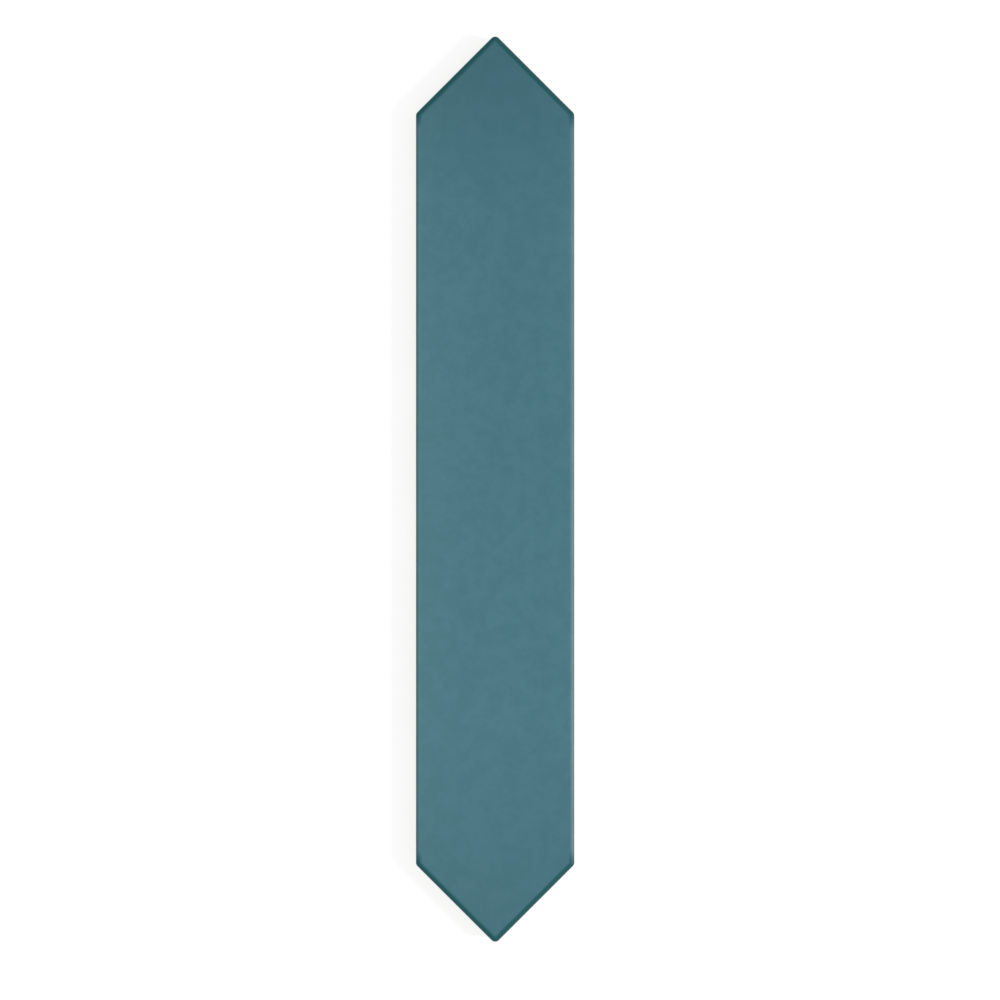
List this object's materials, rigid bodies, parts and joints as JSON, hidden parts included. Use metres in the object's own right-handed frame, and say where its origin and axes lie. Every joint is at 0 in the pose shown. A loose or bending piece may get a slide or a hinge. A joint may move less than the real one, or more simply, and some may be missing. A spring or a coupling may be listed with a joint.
{
  "type": "picket wall tile",
  "caption": "Long narrow glazed ceramic wall tile with a pointed end each way, eased front edge and a fluted back for bedding in adhesive.",
  "frame": {"origin": "middle of the back, which is the face that beds on the wall", "axes": "+X across the tile, +Y along it from point to point, +Z out of the glazed face"},
  "size_m": [0.0524, 0.3, 0.008],
  "materials": {
    "teal_glaze": "satin"
  },
  "bodies": {
    "root": {"picket_tile": "teal_glaze"}
  },
  "joints": []
}
